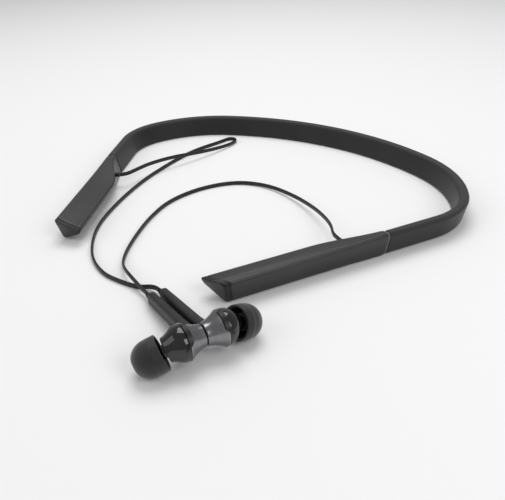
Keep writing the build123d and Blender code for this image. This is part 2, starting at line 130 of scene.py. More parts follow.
# metals: a colour, turning marks drawn round the piece's own map, and how bright they are
def turnedMetal(name, look):
    material, tree, shader = newMaterial(name)
    if look["mapped"]:
        place = addNode(tree, "ShaderNodeUVMap").outputs["UV"]
    else:
        place = addNode(tree, "ShaderNodeTexCoord").outputs["Object"]
    stretch = addNode(tree, "ShaderNodeMapping", {"Vector": place, "Scale": look["stretch"]})
    marks = addNode(tree, "ShaderNodeTexNoise", {"Vector": stretch.outputs["Vector"], "Scale": 1.0, "Detail": 5.0})
    tone = addNode(tree, "ShaderNodeValToRGB", {"Fac": marks.outputs["Fac"]})
    tone.color_ramp.elements[0].color = linear(look["dark"])
    tone.color_ramp.elements[1].color = linear(look["light"])
    tone.color_ramp.elements[0].position = 0.3
    tone.color_ramp.elements[1].position = 0.7
    polish = addNode(tree, "ShaderNodeMapRange", {
        "Value": marks.outputs["Fac"], "To Min": look["rough"][0], "To Max": look["rough"][1]})
    relief = addNode(tree, "ShaderNodeBump", {
        "Height": marks.outputs["Fac"], "Strength": look["relief"], "Distance": 0.02 * mm})
    tree.links.new(tone.outputs["Color"], shader.inputs["Base Color"])
    tree.links.new(polish.outputs["Result"], shader.inputs["Roughness"])
    tree.links.new(relief.outputs["Normal"], shader.inputs["Normal"])
    shader.inputs["Metallic"].default_value = 1.0
    return material


finishes = dict(
    # soft-touch thermoplastic rubber, moulded: charcoal, almost no shine, a very fine tooth
    softTouchRubber=mouldedFinish("softTouchRubber", dict(
        dark="#19191a", light="#202021", cloudMm=14, grainMm=0.28, relief=0.22, depthMm=0.05,
        rough=(0.52, 0.62), sheen=0.12)),
    # ABS with a soft-touch paint: a little smoother than the band, with a wide soft highlight
    softPaintedAbs=mouldedFinish("softPaintedAbs", dict(
        dark="#1b1b1c", light="#232324", cloudMm=18, grainMm=0.35, relief=0.14, depthMm=0.04,
        rough=(0.38, 0.46), coat=0.35, coatRough=0.36)),
    # bare ABS cap, fine spark finish: the darkest plain face, even and satin
    satinAbs=mouldedFinish("satinAbs", dict(
        dark="#101011", light="#151516", cloudMm=9, grainMm=0.22, relief=0.12, depthMm=0.03,
        rough=(0.36, 0.44))),
    # grey polycarbonate collar, satin: a thin paler line between band and pod
    greyPolycarbonate=mouldedFinish("greyPolycarbonate", dict(
        dark="#5e5e61", light="#6e6e71", cloudMm=5, grainMm=0.3, relief=0.1, depthMm=0.02,
        rough=(0.28, 0.36))),
    # thermoplastic elastomer cord jacket, drawn: smooth, slightly waxy
    elastomerJacket=mouldedFinish("elastomerJacket", dict(
        dark="#151516", light="#1e1e1f", cloudMm=6, grainMm=0.4, relief=0.1, depthMm=0.03,
        rough=(0.38, 0.48))),
    # liquid silicone ear tip, moulded: dull dark grey with a powdery edge
    mouldedSilicone=mouldedFinish("mouldedSilicone", dict(
        dark="#1d1d1e", light="#252526", cloudMm=4, grainMm=0.25, relief=0.16, depthMm=0.03,
        rough=(0.46, 0.56), sheen=0.3, ior=1.41)),
    # polished black ABS dome: mirror-smooth, sharp highlights
    polishedAbs=mouldedFinish("polishedAbs", dict(
        dark="#0c0c0d", light="#111112", cloudMm=6, grainMm=0.5, relief=0.02, depthMm=0.01,
        rough=(0.06, 0.10), coat=0.6, coatRough=0.04)),
    # nylon stem, moulded with a fine eroded face
    mouldedNylon=mouldedFinish("mouldedNylon", dict(
        dark="#222223", light="#2b2b2c", cloudMm=5, grainMm=0.22, relief=0.2, depthMm=0.04,
        rough=(0.42, 0.52))),
    # nitrile grip rib, cut knurl: deep black, catches light on its ridges only
    knurledNitrile=mouldedFinish("knurledNitrile", dict(
        dark="#121213", light="#1a1a1c", cloudMm=2, grainMm=0.2, relief=0.2, depthMm=0.03,
        rough=(0.34, 0.44))),
    # sleeved wire bundle, nylon braid
    braidedSleeve=mouldedFinish("braidedSleeve", dict(
        dark="#202024", light="#34343a", cloudMm=0.6, grainMm=0.3, relief=0.5, depthMm=0.08,
        rough=(0.6, 0.75))),
    # moulded phenolic switch bodies
    switchPhenolic=mouldedFinish("switchPhenolic", dict(
        dark="#18181a", light="#222224", cloudMm=1.5, grainMm=0.2, relief=0.15, depthMm=0.02,
        rough=(0.45, 0.55))),
    # PVC shrink sleeve over the cell, blue-grey, slightly glossy
    shrinkSleeve=mouldedFinish("shrinkSleeve", dict(
        dark="#2f4a63", light="#3a5875", cloudMm=5, grainMm=0.6, relief=0.1, depthMm=0.03,
        rough=(0.25, 0.34))),
    # anodised aluminium shell, turned: satin grey with hair-fine rings round the axis
    anodisedAluminium=turnedMetal("anodisedAluminium", dict(
        dark="#77777a", light="#8f8f92", mapped=True, stretch=(3.0, 90.0, 1.0), rough=(0.18, 0.26), relief=0.25)),
    # chromed rim, smoked and polished: a thin line a little brighter than the shell
    polishedChrome=turnedMetal("polishedChrome", dict(
        dark="#8d8d90", light="#a3a3a6", mapped=True, stretch=(2.0, 30.0, 1.0), rough=(0.05, 0.10), relief=0.04)),
    # stainless wire, mesh and socket, drawn: long fine scratches
    drawnStainless=turnedMetal("drawnStainless", dict(
        dark="#8f8f90", light="#b4b4b4", mapped=False, stretch=(900.0, 900.0, 4000.0),
        rough=(0.26, 0.4), relief=0.2)),
    # nickel-plated magnet and driver frame: warm bright metal
    nickelPlate=turnedMetal("nickelPlate", dict(
        dark="#b3ada0", light="#cfc9bb", mapped=False, stretch=(700.0, 700.0, 700.0),
        rough=(0.12, 0.22), relief=0.1)),
    # tinned steel can, rolled: pale and a little cloudy
    tinnedSteel=turnedMetal("tinnedSteel", dict(
        dark="#a2a3a3", light="#bfc0c0", mapped=False, stretch=(400.0, 400.0, 400.0),
        rough=(0.22, 0.38), relief=0.15)),
)


# fibreglass board under green solder mask: copper tracks show as paler lines 0.4 mm wide
def solderMask(trackMm=1.1):
    material, tree, shader = newMaterial("solderMask")
    place = addNode(tree, "ShaderNodeTexCoord").outputs["Object"]
    tracks = addNode(tree, "ShaderNodeTexBrick", {
        "Vector": place, "Scale": 1.0, "Color1": linear("#14522c"), "Color2": linear("#175c32"),
        "Mortar": linear("#2a7d49"), "Brick Width": 3 * trackMm * mm, "Row Height": trackMm * mm,
        "Mortar Size": 0.2 * mm})
    relief = addNode(tree, "ShaderNodeBump", {
        "Height": tracks.outputs["Fac"], "Strength": 0.3, "Distance": 0.03 * mm})
    tree.links.new(tracks.outputs["Color"], shader.inputs["Base Color"])
    tree.links.new(relief.outputs["Normal"], shader.inputs["Normal"])
    shader.inputs["Roughness"].default_value = 0.3
    shader.inputs["Coat Weight"].default_value = 0.4
    return material


# cast acrylic light guide: clear, faintly blue, glows when the set is on
def castAcrylic():
    material, tree, shader = newMaterial("castAcrylic")
    place = addNode(tree, "ShaderNodeTexCoord").outputs["Object"]
    haze = addNode(tree, "ShaderNodeTexNoise", {"Vector": place, "Scale": 900.0})
    polish = addNode(tree, "ShaderNodeMapRange", {"Value": haze.outputs["Fac"], "To Min": 0.08, "To Max": 0.2})
    tree.links.new(polish.outputs["Result"], shader.inputs["Roughness"])
    shader.inputs["Base Color"].default_value = linear("#dfe8f2")
    shader.inputs["Transmission Weight"].default_value = 0.85
    shader.inputs["IOR"].default_value = 1.49
    return material


finishes["solderMask"] = solderMask()
finishes["castAcrylic"] = castAcrylic()
print("stage:", len(finishes), "materials made")


# shapes
def frameMatrix(origin, xDir, zDir):
    x, z = np.array(xDir, float), np.array(zDir, float)
    x, z = x / np.linalg.norm(x), z / np.linalg.norm(z)
    matrix = np.eye(4)
    matrix[:3, 0], matrix[:3, 1], matrix[:3, 2], matrix[:3, 3] = x, np.cross(z, x), z, origin
    return matrix


def makePiece(name, points, faces, place, flipSide, finish, uv=None, sharp=40):
    points = np.array(points, float)
    points = points @ place[:3, :3].T + place[:3, 3]
    if flipSide:
        points[:, 0] *= -1
    mesh = bpy.data.meshes.new(name)
    mesh.from_pydata([tuple(p * mm) for p in points], [], faces)
    if uv is not None:
        layer = mesh.uv_layers.new(name="UVMap")
        for loop in mesh.loops:
            layer.data[loop.index].uv = uv[loop.vertex_index]
    shape = bmesh.new()
    shape.from_mesh(mesh)
    bmesh.ops.remove_doubles(shape, verts=shape.verts, dist=2e-7)
    bmesh.ops.dissolve_degenerate(shape, edges=shape.edges, dist=1e-7)
    bmesh.ops.recalc_face_normals(shape, faces=shape.faces)
    shape.to_mesh(mesh)
    shape.free()
    mesh.shade_smooth()
    mesh.set_sharp_from_angle(angle=math.radians(sharp))
    mesh.materials.append(finishes[finish])
    piece = bpy.data.objects.new(name, mesh)
    bpy.context.collection.objects.link(piece)
    return piece


# rings of equal count joined into a closed tube, or into a loop
def loftFaces(ringCount, size, capped=True, looped=False):
    faces = []
    for i in range(ringCount if looped else ringCount - 1):
        a, b = i * size, ((i + 1) % ringCount) * size
        for k in range(size):
            n = (k + 1) % size
            faces.append((a + k, a + n, b + n, b + k))
    if capped and not looped:
        faces.append(tuple(range(size))[::-1])
        faces.append(tuple(range((ringCount - 1) * size, ringCount * size)))
    return faces


# a profile of (along, radius) turned round the local X axis
def turnedPiece(name, profile, place, flipSide, finish, steps=96, looped=False, sharp=40):
    points, uv = [], []
    run = 0.0
    for i, (x, r) in enumerate(profile):
        if i:
            run += math.hypot(x - profile[i - 1][0], r - profile[i - 1][1])
        for k in range(steps):
            t = 2 * math.pi * k / steps
            points.append((x, max(r, 1e-4) * math.cos(t), max(r, 1e-4) * math.sin(t)))
            uv.append((k / steps, run / 10))
    faces = loftFaces(len(profile), steps, True, looped)
    return makePiece(name, points, faces, place, flipSide, finish, uv, sharp)


def roundedOutline(corners, radii, steps=7):
    count, out = len(corners), []
    for i in range(count):
        p = np.array(corners[i], float)
        a = np.array(corners[i - 1], float) - p
        b = np.array(corners[(i + 1) % count], float) - p
        ua, ub = a / np.linalg.norm(a), b / np.linalg.norm(b)
        half = math.acos(max(-1, min(1, float(ua @ ub)))) / 2
        reach = min(radii[i] / math.tan(half), 0.48 * np.linalg.norm(a), 0.48 * np.linalg.norm(b))
        radius = reach * math.tan(half)
        middle = p + (ua + ub) / np.linalg.norm(ua + ub) * radius / math.sin(half)
        start = math.atan2(*(p + ua * reach - middle)[::-1])
        turn = math.atan2(*(p + ub * reach - middle)[::-1]) - start
        turn = (turn + math.pi) % (2 * math.pi) - math.pi
        for k in range(steps):
            t = start + turn * k / (steps - 1)
            out.append(middle + radius * np.array([math.cos(t), math.sin(t)]))
    return out


def smooth(t):
    t = max(0.0, min(1.0, t))
    return t * t * (3 - 2 * t)


# neck band
band = dict(
    start=(0.0, 102.8), stretches=((65.0, 25.5), (45.5, 43.5), (28.0, 49.5), (26.0, 0.0)),
    height=10.8, thick=4.7, lean=2.3, cornerRadius=1.7, stepMm=1.2, flexMm=13.0, splitAt=65.0)


def bandPlan(lengthMm):
    point, heading, left = np.array(band["start"]), 0.0, lengthMm
    for run, turn in band["stretches"]:
        part = min(left, run)
        angle = math.radians(turn) * part / run
        chord = part if abs(angle) < 1e-9 else 2 * part / angle * math.sin(angle / 2)
        middle = heading + angle / 2
        point = point + chord * np.array([math.cos(middle), -math.sin(middle)])
        heading += angle
        left -= part
        if left <= 1e-9:
            break
    return point, heading


# a leaning rounded strip swept along the mesh line it is put on; sizes are named inputs
def sweepTree():
    tree = bpy.data.node_groups.new("bandSweep", "GeometryNodeTree")
    face = tree.interface
    face.new_socket("Line", in_out="INPUT", socket_type="NodeSocketGeometry")
    for name in ("Thickness", "Height", "Lean", "Corner Radius"):
        face.new_socket(name, in_out="INPUT", socket_type="NodeSocketFloat")
    face.new_socket("Finish", in_out="INPUT", socket_type="NodeSocketMaterial")
    face.new_socket("Strip", in_out="OUTPUT", socket_type="NodeSocketGeometry")
    given = addNode(tree, "NodeGroupInput").outputs
    outline = addNode(tree, "GeometryNodeCurvePrimitiveQuadrilateral", {
        "Width": given["Thickness"], "Height": given["Height"]})
    soft = addNode(tree, "GeometryNodeFilletCurve", mode="POLY")
    tree.links.new(outline.outputs["Curve"], soft.inputs["Curve"])
    tree.links.new(given["Corner Radius"], soft.inputs["Radius"])
    soft.inputs["Count"].default_value = 7
    where = addNode(tree, "GeometryNodeInputPosition")
    parts = addNode(tree, "ShaderNodeSeparateXYZ", {"Vector": where.outputs["Position"]})
    half = addNode(tree, "ShaderNodeMath", {0: given["Height"], 1: 0.5}, operation="MULTIPLY")
    rise = addNode(tree, "ShaderNodeMath", {0: half.outputs[0], 1: parts.outputs["Y"]}, operation="SUBTRACT")
    share = addNode(tree, "ShaderNodeMath", {0: rise.outputs[0], 1: given["Height"]}, operation="DIVIDE")
    leaning = addNode(tree, "ShaderNodeMath", {0: share.outputs[0], 1: given["Lean"]}, operation="MULTIPLY")
    inward = addNode(tree, "ShaderNodeMath", {0: given["Thickness"], 1: 0.5}, operation="MULTIPLY")
    across = addNode(tree, "ShaderNodeMath", {0: inward.outputs[0], 1: leaning.outputs[0]}, operation="SUBTRACT")
    down = addNode(tree, "ShaderNodeMath", {0: half.outputs[0], 1: -1.0}, operation="MULTIPLY")
    offset = addNode(tree, "ShaderNodeCombineXYZ", {"X": across.outputs[0], "Y": down.outputs[0]})
    leant = addNode(tree, "GeometryNodeSetPosition", {
        "Geometry": soft.outputs["Curve"], "Offset": offset.outputs["Vector"]})
    line = addNode(tree, "GeometryNodeMeshToCurve", {"Mesh": given["Line"]})
    upright = addNode(tree, "GeometryNodeSetCurveNormal", {"Curve": line.outputs["Curve"]}, mode="Z_UP")
    swept = addNode(tree, "GeometryNodeCurveToMesh", {
        "Curve": upright.outputs["Curve"], "Profile Curve": leant.outputs["Geometry"], "Fill Caps": True})
    real = addNode(tree, "GeometryNodeRealizeInstances", {"Geometry": swept.outputs["Mesh"]})
    done = addNode(tree, "GeometryNodeSetMaterial", {
        "Geometry": real.outputs["Geometry"], "Material": given["Finish"]})
    addNode(tree, "NodeGroupOutput", {"Strip": done.outputs["Geometry"]})
    return tree


# runs a tree on a mesh and hands back the result as a plain piece
def grow(name, source, tree, values, sharp=35):
    carrier = bpy.data.objects.new(name + "Source", source)
    bpy.context.collection.objects.link(carrier)
    modifier = carrier.modifiers.new("grow", "NODES")
    modifier.node_group = tree
    named = {s.name: s.identifier for s in tree.interface.items_tree if s.in_out == "INPUT"}
    for key, value in values.items():
        modifier[named[key]] = value
    ready = carrier.evaluated_get(bpy.context.evaluated_depsgraph_get())
    mesh = bpy.data.meshes.new_from_object(ready)
    bpy.data.objects.remove(carrier)
    mesh.name = name
    shape = bmesh.new()
    shape.from_mesh(mesh)
    bmesh.ops.remove_doubles(shape, verts=shape.verts, dist=1e-7)
    bmesh.ops.recalc_face_normals(shape, faces=shape.faces)
    shape.to_mesh(mesh)
    shape.free()
    mesh.shade_smooth()
    mesh.set_sharp_from_angle(angle=math.radians(sharp))
    piece = bpy.data.objects.new(name, mesh)
    bpy.context.collection.objects.link(piece)
    return piece


def makeBand(side, tree):
    way = 1 if side == "right" else -1
    total = sum(run for run, _ in band["stretches"])
    count = int(total / band["stepMm"])
    marks = [total * i / count for i in range(count + 1)]
    points = [bandPlan(m)[0] for m in marks]
    line = bpy.data.meshes.new(side + "BandLine")
    rows = [(way * p[0] * mm, p[1] * mm, 0.0) for p in points]
    if way < 0:
        rows = rows[::-1]  # both halves run the same way round, so the strip leans outwards on both
    line.from_pydata(rows, [(i, i + 1) for i in range(count)], [])
    piece = grow(side + "BandSkin", line, tree, {
        "Thickness": band["thick"] * mm, "Height": band["height"] * mm, "Lean": band["lean"] * mm,
        "Corner Radius": band["cornerRadius"] * mm, "Finish": finishes["softTouchRubber"]})
    point, heading = bandPlan(band["splitAt"])
    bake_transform(piece)
    return piece


bandTree = sweepTree()
bandPieces = {side: makeBand(side, bandTree) for side in ("right", "left")}
for side, piece in bandPieces.items():
    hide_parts(side + "_band_skin")
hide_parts("nape_band_skin")
print("stage: band swept")


# pods
pod = dict(
    length=68.5, width=10.8, apexHeight=6.3, apexEdge=2.3, taperShare=0.45, capLength=2.6,
    leads=(1.6, 3.6, 7.2), radii=(1.1, 1.3, 1.0, 0.8), topHollow=0.45, slantFrom=34.0,
    baseStart=16.0, baseEnd=63.65, baseMargin=1.65, baseDepth=1.3, capEdge=0.7, seam=0.13)
junction, podHeading = bandPlan(1000.0)
podHeading = math.radians(118.5)
junction = junction + np.array([math.cos(podHeading), -math.sin(podHeading)]) * 1.0
podPlace = frameMatrix(
    (junction[0], junction[1], 0.0), (math.sin(podHeading), math.cos(podHeading), 0),
    (math.cos(podHeading), -math.sin(podHeading), 0))


def podCorners(share):
    grown = smooth(share / pod["taperShare"])
    lean, thick, high = band["lean"], band["thick"], band["height"]
    wide, apex, edge = pod["width"], pod["apexHeight"], pod["apexEdge"] / 2
    innerTop = ((lean - thick) + grown * (-wide - lean + thick), high + grown * (apex + edge - high))
    innerLow = (-thick + grown * (edge - wide + thick), grown * (apex - edge))
    return [np.array(p, float) for p in ((0, 0), (lean, high), innerTop, innerLow)]


endCorners = podCorners(1)
apexPoint = (endCorners[2] + endCorners[3]) / 2
leadPlane = np.linalg.solve(
    np.array([[1, *endCorners[0]], [1, *endCorners[1]], [1, *apexPoint]]), np.array(pod["leads"]))


def podRing(mark, slant, recess, shrink=0.0):
    share = min(mark / pod["length"], 1.0)
    corners = podCorners(share)
    grown = smooth(share / pod["taperShare"])
    steps = 7
    outline = roundedOutline(corners, pod["radii"], steps)
    bottom, outerTop, innerTop, innerLow = (outline[i * steps:(i + 1) * steps] for i in range(4))
    ring = list(bottom)
    for k in range(1, 5):  # outer wall
        ring.append(bottom[-1] + (outerTop[0] - bottom[-1]) * k / 5)
    ring += outerTop
    across = innerTop[0] - outerTop[-1]
    down = np.array([-across[1], across[0]]) / np.linalg.norm(across)
    for k in range(1, 16):  # top, a little hollow so that its inner edge turns up
        t = k / 16
        ring.append(outerTop[-1] + across * t + down * pod["topHollow"] * grown * math.sin(math.pi * t) ** 1.3)
    ring += innerTop
    ring += innerLow
    under = bottom[0] - innerLow[-1]
    length = np.linalg.norm(under)
    inward = np.array([under[1], -under[0]]) / length
    inward = inward * (1 if inward[1] > 0 else -1)
    edge = min(pod["baseMargin"] / length, 0.4)
    for t, deep in ((edge, 0), (edge + 0.01, recess), (0.99 - edge, recess), (1 - edge, 0)):
        ring.append(innerLow[-1] + under * t + inward * pod["baseDepth"] * deep)
    middle = sum(ring) / len(ring)
    ring = [middle + (p - middle) * (1 - shrink / 5.0) for p in ring]
    return [(p[0], p[1], mark + slant * float(leadPlane @ (1, p[0], p[1]))) for p in ring]


def ringsPiece(name, rings, place, flipSide, finish, sharp=38):
    points = [p for ring in rings for p in ring]
    return makePiece(name, points, loftFaces(len(rings), len(rings[0])), place, flipSide, finish, None, sharp)


def makePod(side):
    flipSide = side == "left"
    seamMark = pod["length"] - pod["capLength"]
    slant = lambda m: smooth((m - pod["slantFrom"]) / (seamMark - pod["slantFrom"]))
    marks = [pod["baseStart"] * i / 9 for i in range(10)]
    stations = [(m, 0) for m in marks] + [(pod["baseStart"] + 0.02, 1)]
    run = pod["baseEnd"] - 1.5 - pod["baseStart"]
    stations += [(pod["baseStart"] + run * i / 30, 1) for i in range(1, 31)]
    stations += [(pod["baseEnd"] - 1.48, 0)]
    stations += [(m, 0) for m in (63.4, 64.6, seamMark - 0.25)]
    rings = [podRing(m, slant(m) if m < pod["baseEnd"] else 1.0, r) for m, r in stations]
    rings = [podRing(0.12, 0, 0, 0.25)] + rings[1:]
    rings.append(podRing(seamMark, 1.0, 0, pod["seam"]))
    body = ringsPiece(side + "PodBody", rings, podPlace, flipSide, "softPaintedAbs")
    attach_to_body(body, side + "_arm")
    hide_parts(side + "_pod_shell")
    start, stop, edge = seamMark + 0.1, pod["length"], pod["capEdge"]
    rings = [podRing(start, 1.0, 0, pod["seam"]), podRing(start + 0.2, 1.0, 0, 0)]
    for k in range(6):
        t = math.pi / 2 * k / 5
        rings.append(podRing(stop - edge + edge * math.sin(t), 1.0, 0, edge * (1 - math.cos(t))))
    cap = ringsPiece(side + "PodCap", rings, podPlace, flipSide, "satinAbs")
    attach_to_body(cap, side + "_arm")
    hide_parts(side + "_end_cap")


for side in ("right", "left"):
    makePod(side)
print("stage: pods lofted")


# earbuds
bud = dict(
    clasp=(56.0, -83.3, 8.71), heading=67.0, roll=30.0, pitch=0.8, gap=0.3, backRadius=3.9, rimRadius=6.4,
    backLength=6.4, domeLength=5.4, backFlare=0.35, nozzleSink=1.8,
    nozzleTilt=23.0, nozzleRadius=2.2, nozzleLength=7.6, nozzleBore=1.6, tipRadius=6.2, tipLength=9.6,
    tipWall=0.8, tipStart=dict(right=3.8, left=2.3), tipGap=1.3, ringRadius=4.3)
seamAt = bud["gap"] / 2 + bud["backLength"]


def claspPlace():
    heading, roll, pitch = (math.radians(bud[k]) for k in ("heading", "roll", "pitch"))
    out = np.array([-math.cos(heading) * math.cos(pitch), -math.sin(heading) * math.cos(pitch), math.sin(pitch)])
    across = np.array([math.sin(heading), -math.cos(heading), 0])
    upright = np.cross(out, across)
    upright = upright * (1 if upright[2] > 0 else -1)
    return frameMatrix(bud["clasp"], out, across * math.sin(roll) + upright * math.cos(roll))


budPlace = claspPlace()
mirrorX = np.diag([-1.0, 1.0, 1.0, 1.0])


def budSide(side):
    return budPlace if side == "right" else budPlace @ mirrorX


# X along the nozzle, from where it leaves the axis
def nozzlePlace(side, reach=0.0):
    tilt = math.radians(bud["nozzleTilt"])
    root = seamAt + bud["domeLength"] - bud["nozzleSink"]
    way = np.array([math.cos(tilt), 0, -math.sin(tilt)])
    upright = (math.sin(tilt), 0, math.cos(tilt))
    return budSide(side) @ frameMatrix(np.array([root, 0, 0]) + way * reach, way, upright)


def flareCurve(start, stop, bulge, count):
    out = []
    for i in range(count + 1):
        t = i / count
        x = start[0] + (stop[0] - start[0]) * t
        out.append((x, start[1] + (stop[1] - start[1]) * t + 4 * bulge * t * (1 - t)))
    return out


def attach(piece, side, slot, *nodes):
    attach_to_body(piece, side + "_earbud")
    if nodes:
        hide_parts(*nodes)


# the dome bends from the shell's axis to the nozzle's and ends in a ring square to the nozzle
def makeDome(side):
    tilt, rim = math.radians(bud["nozzleTilt"]), bud["rimRadius"]
    start = np.array([seamAt + 0.45, 0.0])
    corner = np.array([seamAt + bud["domeLength"] - bud["nozzleSink"], 0.0])
    stop = corner + (bud["tipStart"][side] - bud["tipGap"]) * np.array([math.cos(tilt), -math.sin(tilt)])
    stations = [(0, -0.33, 0.32), (0, -0.15, 0.12)] + [(i / 24, 0, 0) for i in range(25)] + [(1, 0.12, 0.3)]
    rings = []
    for t, ahead, less in stations:
        lean = tilt * t
        middle = (1 - t) ** 2 * start + 2 * t * (1 - t) * corner + t * t * stop
        middle = middle + ahead * np.array([math.cos(lean), -math.sin(lean)])
        radius = rim - 0.1 + (bud["ringRadius"] - rim + 0.1) * smooth(t ** 1.25) - less
        turns = [2 * math.pi * k / 96 for k in range(96)]
        rings.append([(middle[0] + radius * math.sin(a) * math.sin(lean), radius * math.cos(a),
                       middle[1] + radius * math.sin(a) * math.cos(lean)) for a in turns])
    dome = ringsPiece(side + "FrontDome", rings, budSide(side), False, "polishedAbs", 40)
    attach(dome, side, "dome_gloss", side + "_front_housing")


def makeShells(side):
    start, back, rim = bud["gap"] / 2, bud["backRadius"], bud["rimRadius"]
    profile = [(start, 0), (start, back - 0.35), (start + 0.1, back - 0.1), (start + 0.35, back + 0.02)]
    profile += flareCurve((start + 0.5, back + 0.04), (seamAt - 0.35, rim - 0.1), -bud["backFlare"], 18)
    profile += [(seamAt - 0.2, rim - 0.06), (seamAt - 0.12, rim - 0.3), (seamAt - 0.12, 0)]
    shell = turnedPiece(side + "BackShell", profile, budSide(side), False, "anodisedAluminium")
    attach(shell, side, "shell_metal", side + "_back_shell")
    ring = [(seamAt + 0.2 * math.cos(a), rim - 0.22 + 0.22 * math.sin(a))
            for a in (2 * math.pi * k / 16 for k in range(16))]
    trim = turnedPiece(side + "RimTrim", ring, budSide(side), False, "polishedChrome", looped=True)
    attach(trim, side, "magnet_nickel")
    makeDome(side)
    r, bore, end = bud["nozzleRadius"], bud["nozzleBore"], bud["nozzleLength"]
    loop = [(-0.5, r), (end - 1.4, r), (end - 1.2, r + 0.28), (end - 0.5, r + 0.28), (end - 0.1, r),
            (end, r - 0.15), (end, bore), (-0.5, bore)]
    nozzle = turnedPiece(side + "Nozzle", loop, nozzlePlace(side), False, "polishedAbs", looped=True)
    attach(nozzle, side, "dome_gloss")


def makeEarTip(side):
    big, wall, length = bud["tipRadius"], bud["tipWall"], bud["tipLength"]
    dome = big * 0.92
    outer = [(length - dome * (1 - math.cos(a)) ** 0.9 if a else length, 1.9 + (big - 1.9) * math.sin(a))
             for a in (math.pi / 2 * k / 16 for k in range(17))]
    outer += [(2.75, big), (2.62, big + 0.05), (2.5, big + 0.05), (2.38, big)]  # the mould's parting line
    outer += [(0.35, big - 0.05), (0.1, big - 0.16), (0.0, big - 0.4), (0.1, big - wall + 0.1)]
    inner = [(0.4, big - wall), (3.9, big - wall)]
    inner += [(3.9 + (dome - 1.3) * math.sin(a), 3.1 + (big - wall - 3.1) * math.cos(a))
              for a in (math.pi / 2 * k / 8 for k in range(1, 8))]
    neck = [(7.6, 3.05), (2.4, 3.0), (2.2, 2.8), (2.2, 2.32), (7.4, 2.32), (7.5, 1.65), (length - 0.2, 1.65)]
    loop = outer + inner + neck
    place = nozzlePlace(side, bud["tipStart"][side])
    tip = turnedPiece(side + "EarTip", loop, place, False, "mouldedSilicone", looped=True, sharp=50)
    attach(tip, side, "ear_silicone", side + "_ear_tip")


stem = dict(
    angle=52.7, length=36.5, width=4.3, breadth=6.0, endWidth=3.4, endBreadth=5.2, drop=1.2, station=2.25,
    groove=0.4, grooveWidth=0.85, endRound=1.3, fairing=1.1)


def stemPlace(side, reach=0.0):
    a = math.radians(stem["angle"])
    way = np.array([0, -math.sin(a), -math.cos(a)])
    below = np.array([0, math.cos(a), -math.sin(a)]) * stem["drop"]
    origin = np.array([bud["gap"] / 2 + stem["station"], 0, 0]) + below + way * reach
    return budSide(side) @ frameMatrix(origin, (1, 0, 0), way)


def makeStem(side):
    rings, size = [], 56
    stations = [1.6 + 2.2 * i for i in range(16)]
    stations = [s for s in stations if s < stem["length"] - stem["endRound"]]
    stations = [(s, 1.0) for s in stations]
    for k in range(7):
        a = math.pi / 2 * k / 6
        stations.append((stem["length"] - stem["endRound"] * (1 - math.sin(a)), 1 - 0.42 * (1 - math.cos(a))))
    for s, scale in stations:
        t = s / stem["length"]
        half = np.array([stem["width"] + (stem["endWidth"] - stem["width"]) * t,
                         stem["breadth"] + (stem["endBreadth"] - stem["breadth"]) * t]) / 2
        half[1] += stem["fairing"] * smooth((9.0 - s) / 8.0)
        ring = []
        fade = smooth((s - 5) / 5) * smooth((stem["length"] - s) / 4)
        for k in range(size):
            a = 2 * math.pi * k / size
            c, d = math.cos(a), math.sin(a)
            x = math.copysign(abs(c) ** 0.62, c) * half[0]
            y = math.copysign(abs(d) ** 0.72, d) * half[1]
            if c > 0:
                x -= stem["groove"] * fade * math.exp(-(y / stem["grooveWidth"]) ** 2)
            ring.append((x * scale, y * scale, s))
        rings.append(ring)
    body = ringsPiece(side + "Stem", rings, stemPlace(side), False, "mouldedNylon", 60)
    attach(body, side, "stem_plastic", side + "_stem")
    # strain relief: a short tapered sleeve with three cut rings
    sleeve = [(-2.0, 0), (-2.0, 1.28), (0.4, 1.28)]
    for k in range(3):
        at, r = 0.55 + 0.75 * k, 1.24 - 0.09 * k
        sleeve += [(at, r), (at + 0.1, r - 0.2), (at + 0.3, r - 0.22), (at + 0.4, r - 0.03)]
    sleeve += [(2.85, 0.98), (3.0, 0.86), (3.0, 0)]
    turn = frameMatrix((0, 0, 0), (0, 0, 1), (1, 0, 0))
    atEnd = stemPlace(side, stem["length"]) @ turn
    relief = turnedPiece(side + "StemRelief", sleeve, atEnd, False, "knurledNitrile")
    attach(relief, side, "gland_rubber", side + "_stem_grommet")


rib = dict(
    inner=5.9, outer=6.8, halfWidth=0.8, fromDeg=-34, toDeg=50, tailFrom=0.72, tailShift=1.7, ridges=20,
    ridgeMm=0.3, ridgeHigh=0.22, knurlInDeg=3)


